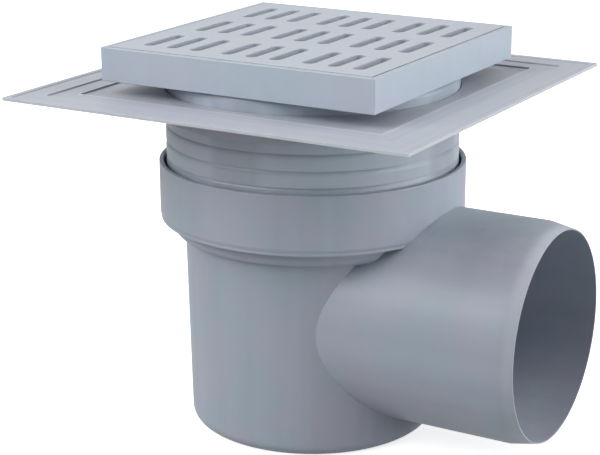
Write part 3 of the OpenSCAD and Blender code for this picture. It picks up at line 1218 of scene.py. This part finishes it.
@dataclass
class SealingFlange:
    """Square flange, dished in two steps, with a lip and a grooved hub.

    Attributes:
        half: Half side of the flange.
        top: Height of the lip's edge.
        hub_end: Height of the hub's lower end.
        neck_radius: Outside radius of the neck that passes through.

    The other fields are the moulding's own sizes, and the steps of its mesh.
    """

    half: float
    top: float
    hub_end: float
    neck_radius: float
    corner: float = 0.5
    thickness: float = 1.0
    fall: float = 0.35
    outer_step: float = 94.3
    inner_step: float = 82.7
    outer_rise: float = 0.35
    middle_rise: float = 0.5
    step_corner: float = 2.0
    step_slope: float = 0.1
    step_round: float = 0.1
    lip_width: float = 2.6
    lip_slope: float = 0.5
    lip_height: float = 0.5
    lip_foot: float = 2.9
    lip_crest: float = 0.5
    clearance: float = 0.45
    groove_depth: float = 1.75
    groove_height: float = 5.6
    hub_lip: float = 2.0
    hub_wall: float = 2.0
    edge_round: float = 0.12
    gutter_round: float = 0.2
    bore_round: float = 0.4
    groove_round: float = 0.2
    hub_round: float = 0.3
    under_round: float = 0.08
    side_steps: int = 44
    corner_steps: int = 8
    arc_steps: int = 4

    @classmethod
    def from_frame(cls, frame: InletFrame) -> "SealingFlange":
        """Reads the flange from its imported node, and its bore from the neck."""
        low, high = node_box("flange_plate")
        return cls(half=high.x, top=high.z, hub_end=low.z, neck_radius=frame.neck_radius)

    def profile(self) -> list[Corner]:
        """Closed profile: lip, steps down to the bore, hub, underside.

        Each band rises a little from the foot of one step to the edge of the next, so
        that the steps stand out.

        Returns:
            The corners.
        """
        square = Outline.SQUARE
        core = self.half - self.corner
        outer_top = self.top - self.lip_height
        middle_top = outer_top - self.fall
        inner_top = middle_top - self.fall
        bore = self.neck_radius + self.clearance
        groove = bore + self.groove_depth
        hub = groove + self.hub_wall
        groove_low = self.hub_end + self.hub_lip
        groove_high = groove_low + self.groove_height
        inner_lip = self.half - self.lip_width
        gutter = inner_lip - self.lip_slope
        made = [
            Corner(self.half, self.top, self.edge_round, square, core),
            Corner(inner_lip, self.top, self.edge_round, square, inner_lip),
            Corner(gutter, outer_top, self.gutter_round, square, gutter),
        ]
        steps = (
            (self.outer_step, outer_top + self.outer_rise, middle_top),
            (self.inner_step, middle_top + self.middle_rise, inner_top),
        )
        for step, high, low in steps:
            step_core = step - self.step_corner
            made.append(Corner(step + self.step_slope, high, self.step_round, square, step_core))
            made.append(Corner(step - self.step_slope, low, self.step_round, square, step_core))
        made += [
            Corner(bore, inner_top, self.bore_round),
            Corner(bore, groove_high, self.groove_round),
            Corner(groove, groove_high, self.groove_round),
            Corner(groove, groove_low, self.groove_round),
            Corner(bore, groove_low, self.groove_round),
            Corner(bore, self.hub_end, self.bore_round),
            Corner(hub, self.hub_end, self.bore_round),
            Corner(hub, inner_top - self.thickness, self.hub_round),
        ]
        for step, low in ((self.inner_step, inner_top), (self.outer_step, middle_top)):
            step_core = step - self.step_corner
            under = low - self.thickness
            inside, outside = step - self.step_slope, step + self.step_slope
            made.append(Corner(inside, under, self.under_round, square, step_core))
            made.append(Corner(outside, under + self.fall, self.under_round, square, step_core))
        made.append(Corner(self.half, outer_top - self.thickness, self.edge_round, square, core))
        return made

    def step_lines(self) -> tuple[StepLine, ...]:
        """Painted shade for the frame's shadow inside the inner step, and painted shade and highlights
        at each step and the lip.
        """
        square = Outline.SQUARE
        return (
            # Wide painted shade: the frame's shadow over the dish inside the inner step.
            StepLine(square, self.inner_step, width_mm=8.0, painted_shade=0.12),
            StepLine(square, self.inner_step, width_mm=0.45, painted_shade=0.4, painted_highlight=0.65),
            StepLine(square, self.outer_step, width_mm=0.45, painted_shade=0.35, painted_highlight=0.15),
            StepLine(square, self.half - self.lip_foot, width_mm=0.45, painted_shade=0.3, painted_highlight=0.1),
            # Painted highlight along the lip's edge.
            StepLine(square, self.half - self.lip_crest, width_mm=0.5, painted_shade=0.0, painted_highlight=0.45),
        )

    def build(self) -> bpy.types.Object:
        """Makes the closed shell of the flange."""
        shell = Shell("sealing_flange")
        path = RingPath.even(self.side_steps, self.corner_steps)
        rows = rounded(self.profile(), self.arc_steps)
        shell.add(path.carry(rows), close_rows=True, close_columns=True)
        return shell.piece()


@dataclass
class SlottedGrate:
    """Square plate with groups of slots, a skirt and ribs, one moulding.

    Attributes:
        half: Half side of the grate.
        top: Height of its top face.
        bottom: Height of the skirt's lower edge.

    The other fields are the moulding's own sizes, and the steps of its mesh.
    """

    half: float
    top: float
    bottom: float
    thickness: float = 5.0
    corner: float = 0.25
    skirt: float = 2.2
    rib_depth: float = 6.0
    slot_width: float = 6.0
    slot_length: float = 31.2
    slot_pitch: float = 13.4
    group_pitch_x: float = 44.5
    group_pitch_y: float = 45.0
    slot_round: float = 0.45
    foot: float = 0.3
    # Width of the painted shade in the gap at the grate's edge.
    edge_shade_width: float = 0.2
    edge_steps: int = 5
    corner_steps: int = 6
    round_steps: int = 4
    long_steps: int = 20
    short_steps: int = 6
    straight_share: float = 0.7

    @classmethod
    def from_frame(cls) -> "SlottedGrate":
        """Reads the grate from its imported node."""
        low, high = node_box("grate")
        return cls(half=high.x, top=high.z, bottom=low.z)

    def slot_ring(self, centre_x: float, centre_y: float, grow: float) -> np.ndarray:
        """Outline of a slot, grown by a width, in step with a cell's outline.

        A share of each long side's steps lies on the straight, and the rest goes on
        round the end: angle = 45 degrees * (place - share) / (1 - share). The short
        side's steps take the 90 degrees between.

        Args:
            centre_x: Middle of the slot in x.
            centre_y: Middle of the slot in y.
            grow: Width by which the outline stands off the slot.

        Returns:
            Plane points, n by 2, from the lower right corner round to the left.
        """
        radius = self.slot_width / 2 + grow
        straight = (self.slot_length - self.slot_width) / 2
        place = np.linspace(-1.0, 1.0, self.long_steps + 1)[:-1]
        past = np.clip((np.abs(place) - self.straight_share) / (1 - self.straight_share), 0.0, 1.0)
        lean = past * math.pi / 4
        long_y = np.clip(place / self.straight_share, -1.0, 1.0) * straight
        long_y += np.sign(place) * radius * np.sin(lean)
        right = np.stack([radius * np.cos(lean), long_y], axis=1)
        angle = np.linspace(math.pi / 4, 3 * math.pi / 4, self.short_steps + 1)[:-1]
        end = np.stack([radius * np.cos(angle), straight + radius * np.sin(angle)], axis=1)
        half_turn = np.concatenate([right, end])
        return np.concatenate([half_turn, -half_turn]) + (centre_x, centre_y)

    def cell_ring(self, across: Span, along: Span) -> np.ndarray:
        """Outline of a cell's rectangle, with the steps of slot_ring."""
        return walk_round(
            np.linspace(*across, self.short_steps + 1),
            np.linspace(*along, self.long_steps + 1),
        )

    def bays(self, pitch: float, outer: float) -> list[Span]:
        """Low and high edge of the three bays across, with a rib's width between."""
        rib = self.skirt / 2
        line = pitch / 2
        return [(-outer, -line - rib), (-line + rib, line - rib), (line + rib, outer)]

    def cells(self, outer: float) -> list[Span]:
        """Low and high edge of the nine cells in x."""
        made = []
        for third, (low, high) in zip(THIRDS, self.bays(self.group_pitch_x, outer)):
            middle = third * self.group_pitch_x
            left, right = middle - self.slot_pitch / 2, middle + self.slot_pitch / 2
            made += [(low, left), (left, right), (right, high)]
        return made

    def stops(self, outer: float) -> tuple[np.ndarray, np.ndarray]:
        """Every place along x and along y at which the lattice has a point."""
        bays = self.bays(self.group_pitch_y, outer)
        x = np.concatenate([np.linspace(*cell, self.short_steps + 1) for cell in self.cells(outer)])
        y = np.concatenate([np.linspace(*bay, self.long_steps + 1) for bay in bays])
        return np.unique(np.round(x, PLACE_DIGITS)), np.unique(np.round(y, PLACE_DIGITS))

    def add_cells(self, shell: Shell) -> None:
        """Adds each slot's wall with its rounded edge, and the faces round it."""
        core, inner = self.half - self.corner, self.half - self.skirt
        under = self.top - self.thickness
        tilt = np.linspace(0.0, math.pi / 2, self.round_steps + 1)
        grow = self.slot_round * (1 - np.cos(tilt))
        edge = self.top - self.slot_round * (1 - np.sin(tilt))
        top_cells, low_cells = self.cells(core), self.cells(inner)
        top_bays = self.bays(self.group_pitch_y, core)
        low_bays = self.bays(self.group_pitch_y, inner)
        for column, (group, slot) in enumerate(product(THIRDS, THIRDS)):
            x = group * self.group_pitch_x + slot * self.slot_pitch
            for row, third in enumerate(THIRDS):
                y = third * self.group_pitch_y
                rings = [
                    lifted(self.cell_ring(low_cells[column], low_bays[row]), under),
                    lifted(self.slot_ring(x, y, 0.0), under),
                    *(lifted(self.slot_ring(x, y, width), z) for width, z in zip(grow, edge)),
                    lifted(self.cell_ring(top_cells[column], top_bays[row]), self.top),
                ]
                shell.add(np.stack(rings), close_columns=True)

    def add_ribs(self, shell: Shell) -> None:
        """Adds the strips over and under the ribs, their sides and the crossings."""
        core, inner = self.half - self.corner, self.half - self.skirt
        under = self.top - self.thickness
        low = under - self.rib_depth
        width = np.array([-self.skirt / 2, self.skirt / 2])
        for outer, z in ((core, self.top), (inner, low)):
            stops_x, stops_y = self.stops(outer)
            for side in (-1, 1):
                shell.add(plane_grid(side * self.group_pitch_x / 2 + width, stops_y, z))
                rib_y = side * self.group_pitch_y / 2 + width
                for bay in self.bays(self.group_pitch_x, outer):
                    shell.add(plane_grid(within(stops_x, bay), rib_y, z))
        stops_x, stops_y = self.stops(inner)
        bays_x = self.bays(self.group_pitch_x, inner)
        bays_y = self.bays(self.group_pitch_y, inner)
        for bay_x, bay_y in product(bays_x, bays_y):
            walk = walk_round(within(stops_x, bay_x), within(stops_y, bay_y))
            shell.add(np.stack([lifted(walk, under), lifted(walk, low)]), close_columns=True)

    def add_skirt(self, shell: Shell) -> None:
        """Adds the rounded edge of the plate and the skirt down to its foot."""
        square = Outline.SQUARE
        low = self.top - self.thickness - self.rib_depth
        core, inner = self.half - self.corner, self.half - self.skirt
        top_x, top_y = self.stops(core)
        low_x, low_y = self.stops(inner)
        upper = RingPath.through(top_x / core, top_y / core, self.corner_steps)
        lower = RingPath.through(low_x / inner, low_y / inner, self.corner_steps)
        tilt = np.linspace(0.0, math.pi / 2, self.edge_steps + 1)
        edge = zip(core + self.corner * np.sin(tilt), self.top - self.corner * (1 - np.cos(tilt)))
        foot = self.bottom + self.foot
        outside = [*edge, (self.half, foot), (self.half - self.foot, self.bottom)]
        inside = [(inner + self.foot, self.bottom), (inner, foot), (inner, low)]
        rows = [upper.row(Corner(reach, z, 0.0, square, core)) for reach, z in outside]
        rows += [lower.row(Corner(reach, z, 0.0, square, inner)) for reach, z in inside]
        shell.add(np.stack(rows), close_columns=True)

    def step_lines(self) -> tuple[StepLine, ...]:
        """Painted shade in the gap at the grate's edge, whose middle lies one width inside the reach.
        """
        width = self.edge_shade_width
        return (StepLine(Outline.SQUARE, self.half + width, width_mm=width, painted_shade=0.6),)

    def build(self) -> bpy.types.Object:
        """Makes the closed shell of the grate."""
        shell = Shell("slotted_grate")
        self.add_cells(shell)
        self.add_ribs(shell)
        self.add_skirt(shell)
        return shell.piece()


def lifted(points: np.ndarray, z: float) -> np.ndarray:
    """Plane points at one height."""
    return np.column_stack([points, np.full(len(points), z)])


def within(stops: np.ndarray, bay: Span) -> np.ndarray:
    """The stops that lie in a bay, with those at its ends."""
    return stops[(stops > bay[0] - TOUCH_MM) & (stops < bay[1] + TOUCH_MM)]


def walk_round(x: np.ndarray, y: np.ndarray) -> np.ndarray:
    """Plane points round a rectangle, from the greatest x and least y round by the far side.

    Args:
        x: Places along the sides that run in x, rising.
        y: Places along the sides that run in y, rising.

    Returns:
        Points, n by 2, each corner once.
    """
    sides = (
        (np.full_like(y, x[-1]), y),
        (x[::-1], np.full_like(x, y[-1])),
        (np.full_like(y, x[0]), y[::-1]),
        (x, np.full_like(x, y[0])),
    )
    return np.concatenate([np.stack(side, axis=1)[:-1] for side in sides])


def plane_grid(x: np.ndarray, y: np.ndarray, z: float) -> np.ndarray:
    """Level grid over every x and y."""
    wide, deep = np.meshgrid(x, y, indexing="ij")
    return np.stack([wide, deep, np.full_like(wide, z)], axis=-1)


# ---------------------------------------------------------------- the studio


@dataclass(frozen=True)
class Viewpoint:
    """Where the camera stands and how it looks.

    Attributes:
        aim: Point in the middle of the view, in millimetres.
        azimuth: Degrees round the object, 0 looking along +Y.
        elevation: Degrees above the horizon.
        roll: Degrees about the line of sight.
        distance: From the aim, in millimetres.
        lens: Focal length, in millimetres.
        sensor: Width of the sensor, in millimetres.
    """

    aim: tuple[float, float, float] = (-5.67, -3.33, 100.18)
    azimuth: float = 30.43
    elevation: float = 16.95
    roll: float = -0.19
    distance: float = 887.26
    lens: float = 103.49
    sensor: float = 36.0

    def build(self) -> bpy.types.Object:
        """Makes the scene's camera."""
        turn, lift, tip = (math.radians(a) for a in (self.azimuth, self.elevation, self.roll))
        level = math.cos(lift)
        back = Vector((math.sin(turn) * level, -math.cos(turn) * level, math.sin(lift)))
        right = Vector((math.cos(turn), math.sin(turn), 0.0))
        up = back.cross(right)
        side = right * math.cos(tip) + up * math.sin(tip)
        head = up * math.cos(tip) - right * math.sin(tip)
        data = bpy.data.cameras.new("camera")
        data.sensor_width = self.sensor
        data.lens = self.lens
        camera = placed("camera", data)
        place = (Vector(self.aim) + back * self.distance) * MM
        axes = Matrix((side, head, back)).transposed().to_4x4()
        camera.matrix_world = Matrix.Translation(place) @ axes
        bpy.context.scene.camera = camera
        return camera


@dataclass(frozen=True)
class Softbox:
    """One soft lamp.

    Attributes:
        name: The lamp's name.
        place: Where it stands, in metres.
        side: Its side, in metres.
        power: Its power in watts.
    """

    name: str
    place: tuple[float, float, float]
    side: float
    power: float

    def build(self, aim: Vector) -> None:
        """Makes the lamp and points it at the aim."""
        data = bpy.data.lights.new(self.name, "AREA")
        data.shape = "SQUARE"
        data.size = self.side
        data.energy = self.power
        lamp = placed(self.name, data)
        lamp.location = self.place
        lamp.rotation_euler = (aim - Vector(self.place)).to_track_quat("-Z", "Y").to_euler()


@dataclass(frozen=True)
class Studio:
    """Pale floor, white surroundings and soft lamps.

    Attributes:
        softboxes: The lamps.
        world_level: Light that the surroundings give.
        mirrored_world: Level of the surroundings in reflections.
        mirrored_floor: Level that the floor adds in reflections.
        floor_seen: Colour of the floor where it is seen.
        floor_bounce: Colour by which the floor lights the object.
        floor_lift: Level that is added to the floor where it is seen.
        floor_half: Half side of the floor, in metres.
        floor_gap: Gap between the floor and the object's base.
        fade_start: Distance from the middle at which the floor starts to turn white.
        fade_end: Distance from the middle at which the floor is white.
    """

    softboxes: tuple[Softbox, ...] = (
        Softbox("key", (-0.9, -1.3, 1.6), 2.0, 47.5),
        Softbox("low key", (-1.1, -1.6, 1.1), 1.6, 6.5),
        Softbox("right high", (1.3, 0.4, 1.5), 1.2, 15.0),
        Softbox("right far", (2.0, 0.9, 0.6), 1.3, 23.0),
        Softbox("right low", (2.0, -0.2, 0.35), 0.9, 8.0),
        Softbox("back left", (-1.3, 1.6, 1.1), 1.3, 1.2),
        Softbox("top back", (0.1, 1.0, 1.8), 1.4, 2.0),
    )
    world_level: float = 0.01
    mirrored_world: float = 0.62
    mirrored_floor: float = 0.42
    floor_seen: Colour = (0.86, 0.865, 0.87)
    floor_bounce: Colour = (0.40, 0.403, 0.407)
    floor_lift: float = 0.75
    floor_half: float = 6.0
    floor_gap: float = 0.1 * MM
    fade_start: float = 0.8
    fade_end: float = 2.0

    def build(self, aim: Vector) -> None:
        """Makes the world, the floor and the lamps."""
        scene = bpy.context.scene
        scene.view_settings.view_transform = "Standard"
        self._world(scene)
        self._floor()
        for softbox in self.softboxes:
            softbox.build(aim)

    def _world(self, scene: bpy.types.Scene) -> None:
        """Faint even light, paler in reflections, and plain white where it is seen."""
        world = bpy.data.worlds.new("studio")
        graph = Graph.blank(world)
        path = graph.node("ShaderNodeLightPath").outputs
        off_on = (0.0, 1.0)
        mirrored = graph.spread(path["Is Glossy Ray"], off_on, self.world_level, self.mirrored_world)
        level = graph.spread(path["Is Camera Ray"], off_on, mirrored, 1.0)
        light = graph.node("ShaderNodeBackground", {"Color": WHITE, "Strength": level})
        graph.node("ShaderNodeOutputWorld", {"Surface": light.outputs[0]})
        scene.world = world

    def _floor(self) -> None:
        """A wide level floor that fades to white and keeps the object's shadow."""
        half, level = self.floor_half, -self.floor_gap
        mesh = bpy.data.meshes.new("floor")
        square = ((-half, -half), (half, -half), (half, half), (-half, half))
        mesh.from_pydata([(x, y, level) for x, y in square], [], [(0, 1, 2, 3)])
        floor = placed("floor", mesh)
        material = bpy.data.materials.new("studio floor")
        graph = Graph.blank(material)
        path = graph.node("ShaderNodeLightPath").outputs
        colour = graph.blend(path["Is Camera Ray"], self.floor_bounce, self.floor_seen)
        matt = graph.node("ShaderNodeBsdfDiffuse", {"Color": colour})
        place = graph.node("ShaderNodeTexCoord").outputs["Object"]
        away = graph.vector("LENGTH", place)
        lift = graph.spread(away, (self.fade_start, self.fade_end), self.floor_lift)
        seen = graph.times(path["Is Camera Ray"], lift)
        mirrored = graph.times(path["Is Glossy Ray"], self.mirrored_floor)
        glow = graph.node(
            "ShaderNodeEmission",
            {"Color": WHITE, "Strength": graph.plus(seen, mirrored)},
        )
        both = graph.node("ShaderNodeAddShader", {0: matt.outputs[0], 1: glow.outputs[0]})
        graph.node("ShaderNodeOutputMaterial", {"Surface": both.outputs[0]})
        mesh.materials.append(material)


# ---------------------------------------------------------------- the gully


@dataclass(frozen=True)
class Finishes:
    """The finish of each slot."""

    body: MouldedPlastic = MouldedPlastic(
        name="body plastic",
        colour=(0.350, 0.418, 0.484),
        second=(0.392, 0.406, 0.490),
        pull=Pull.ROUND_UPRIGHT,
        roughness=0.42,
        line_tone=0.045,
        # A high share: painted light that brightens the faces that look up, the spigot's top among
        # them.
        dust_and_top_light=0.22,
    )
    frame: MouldedPlastic = MouldedPlastic(
        name="frame plastic",
        colour=(0.446, 0.530, 0.602),
        second=(0.472, 0.518, 0.604),
        pull=Pull.UPRIGHT,
        line_tone=0.015,
    )
    grate: MouldedPlastic = MouldedPlastic(
        name="grate plastic",
        colour=(0.443, 0.496, 0.556),
        second=(0.462, 0.489, 0.562),
        pull=Pull.SQUARE_EDGES,
        line_tone=0.01,
    )
    flange: MouldedPlastic = MouldedPlastic(
        name="flange plastic",
        colour=(0.438, 0.476, 0.536),
        second=(0.456, 0.470, 0.548),
        pull=Pull.SQUARE_EDGES,
        line_width_mm=1.9,
        line_fineness=3.0,
        line_tone=0.115,
        line_depth_mm=0.06,
    )
    trap: MouldedPlastic = MouldedPlastic(
        name="trap plastic",
        colour=(0.32, 0.36, 0.41),
        second=(0.33, 0.355, 0.41),
        pull=Pull.ROUND_UPRIGHT,
    )
    seal: SealRubber = SealRubber(
        name="seal rubber",
        colour=(0.022, 0.022, 0.024),
        second=(0.022, 0.022, 0.024),
        roughness=0.62,
        roughness_spread=0.1,
        tone=0.12,
        mottle_mm=9.0,
        grain_mm=0.5,
        grain_depth_mm=0.03,
        ior=1.52,
        bloom=(0.075, 0.075, 0.08),
    )


class Gully:
    """The whole gully: replaced shells, kept nodes and their finishes."""

    KEPT = {
        "gully_body": Slot.BODY,
        "trap_bowl": Slot.TRAP,
        "trap_bell": Slot.TRAP,
        "neck_seal": Slot.SEAL,
        "flange_seal": Slot.SEAL,
        "bowl_seal": Slot.SEAL,
    }

    def __init__(self, packed: dict) -> None:
        """Reads the sub-assemblies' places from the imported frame."""
        self.nodes: dict[str, bpy.types.Object] = packed["nodes"]
        self.effects = Effects()
        self.finishes = Finishes()
        self.spigot = Spigot.from_record(packed["record"])
        self.materials: dict[Slot, bpy.types.Material] = {}
        self.frame = InletFrame.from_frame()
        self.flange = SealingFlange.from_frame(self.frame)
        self.grate = SlottedGrate.from_frame()
        self.shells = {Slot.FRAME: self.frame, Slot.GRATE: self.grate, Slot.FLANGE: self.flange}

    def material(self, slot: Slot) -> bpy.types.Material:
        """The material of a slot, built when first asked for."""
        if slot not in self.materials:
            finish = getattr(self.finishes, slot.value)
            if slot is Slot.BODY:
                finish = replace(finish, spigot=self.spigot)
            if slot in self.shells:
                finish = replace(finish, steps=self.shells[slot].step_lines())
            self.materials[slot] = finish.make(self.effects)
        return self.materials[slot]

    def build(self) -> None:
        """Builds the new shells, then dresses the nodes that stay."""
        self._stand_for(self.frame.build(), "grate_frame", "inlet", Slot.FRAME)
        self._stand_for(self.grate.build(), "grate", "inlet", Slot.GRATE)
        self._stand_for(self.flange.build(), "flange_plate", "flange", Slot.FLANGE)
        for node, slot in self.KEPT.items():
            dress(self.nodes[node], self.material(slot))
            log.info("%s: kept, finish %s", node, slot.value)

    def _stand_for(self, piece: bpy.types.Object, node: str, body: str, slot: Slot) -> None:
        """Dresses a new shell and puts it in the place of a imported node."""
        dress(piece, self.material(slot))
        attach(piece, body)
        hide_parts(node)
        log.info("%s: stands for %s on %s", piece.name, node, body)


def main() -> None:
    """Loads the frame, dresses the gully and sets up the studio and the camera."""
    logging.basicConfig(level=logging.INFO, format="%(name)s: %(message)s")
    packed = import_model()
    Viewpoint().build()
    Gully(packed).build()
    Studio().build(Vector(Viewpoint.aim) * MM)


if __name__ == "__main__":
    main()
